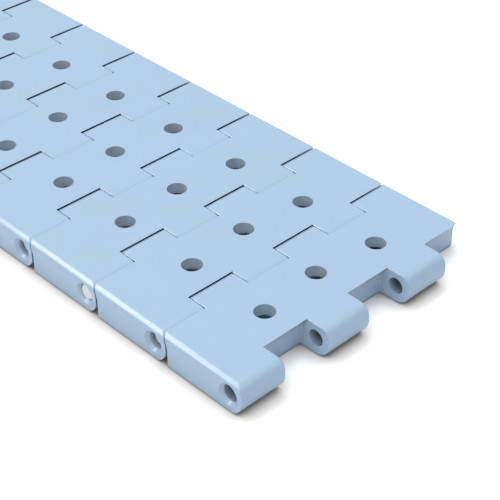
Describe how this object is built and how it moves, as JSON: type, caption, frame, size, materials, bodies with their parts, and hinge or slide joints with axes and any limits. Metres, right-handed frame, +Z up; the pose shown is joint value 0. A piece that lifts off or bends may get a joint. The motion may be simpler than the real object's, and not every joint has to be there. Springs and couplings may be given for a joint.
{
  "type": "modular plastic belt",
  "caption": "Straight strip of light-blue flat-top modular conveyor belt: perforated moulded rows with interleaved knuckles, hinged on headless white rods.",
  "frame": {"origin": "middle of the strip's underside, where it lies on a flat surface", "axes": "+X along the strip to its free front end, +Y across it to the right edge, +Z up out of the carrying face"},
  "size_m": [0.2834, 0.0838, 0.0087],
  "materials": {
    "belt_blue": "satin injection-moulded light-blue plastic with a fine moulded grain",
    "rod_white": "smooth natural white plastic rod with cut ends"
  },
  "bodies": {
    "row_01": {"belt_module_01": "belt_blue"},
    "row_02": {"belt_module_02": "belt_blue", "hinge_rod_01": "rod_white"},
    "row_03": {"belt_module_03": "belt_blue", "hinge_rod_02": "rod_white"},
    "row_04": {"belt_module_04": "belt_blue", "hinge_rod_03": "rod_white"},
    "row_05": {"belt_module_05": "belt_blue", "hinge_rod_04": "rod_white"},
    "row_06": {"belt_module_06": "belt_blue", "hinge_rod_05": "rod_white"},
    "row_07": {"belt_module_07": "belt_blue", "hinge_rod_06": "rod_white"},
    "row_08": {"belt_module_08": "belt_blue", "hinge_rod_07": "rod_white"},
    "row_09": {"belt_module_09": "belt_blue", "hinge_rod_08": "rod_white"},
    "row_10": {"belt_module_10": "belt_blue", "hinge_rod_09": "rod_white"},
    "row_11": {"belt_module_11": "belt_blue", "hinge_rod_10": "rod_white"}
  },
  "joints": [
    {"name": "hinge_01", "type": "hinge", "parent": "row_02", "child": "row_01", "pos_m": [0.1125, 0, 0.00475], "axis": [0, 1, 0], "range_deg": [-30, 45]},
    {"name": "hinge_02", "type": "hinge", "parent": "row_03", "child": "row_02", "pos_m": [0.0875, 0, 0.00475], "axis": [0, 1, 0], "range_deg": [-30, 45]},
    {"name": "hinge_03", "type": "hinge", "parent": "row_04", "child": "row_03", "pos_m": [0.0625, 0, 0.00475], "axis": [0, 1, 0], "range_deg": [-30, 45]},
    {"name": "hinge_04", "type": "hinge", "parent": "row_05", "child": "row_04", "pos_m": [0.0375, 0, 0.00475], "axis": [0, 1, 0], "range_deg": [-30, 45]},
    {"name": "hinge_05", "type": "hinge", "parent": "row_06", "child": "row_05", "pos_m": [0.0125, 0, 0.00475], "axis": [0, 1, 0], "range_deg": [-30, 45]},
    {"name": "hinge_06", "type": "hinge", "parent": "row_06", "child": "row_07", "pos_m": [-0.0125, 0, 0.00475], "axis": [0, 1, 0], "range_deg": [-45, 30]},
    {"name": "hinge_07", "type": "hinge", "parent": "row_07", "child": "row_08", "pos_m": [-0.0375, 0, 0.00475], "axis": [0, 1, 0], "range_deg": [-45, 30]},
    {"name": "hinge_08", "type": "hinge", "parent": "row_08", "child": "row_09", "pos_m": [-0.0625, 0, 0.00475], "axis": [0, 1, 0], "range_deg": [-45, 30]},
    {"name": "hinge_09", "type": "hinge", "parent": "row_09", "child": "row_10", "pos_m": [-0.0875, 0, 0.00475], "axis": [0, 1, 0], "range_deg": [-45, 30]},
    {"name": "hinge_10", "type": "hinge", "parent": "row_10", "child": "row_11", "pos_m": [-0.1125, 0, 0.00475], "axis": [0, 1, 0], "range_deg": [-45, 30]}
  ]
}
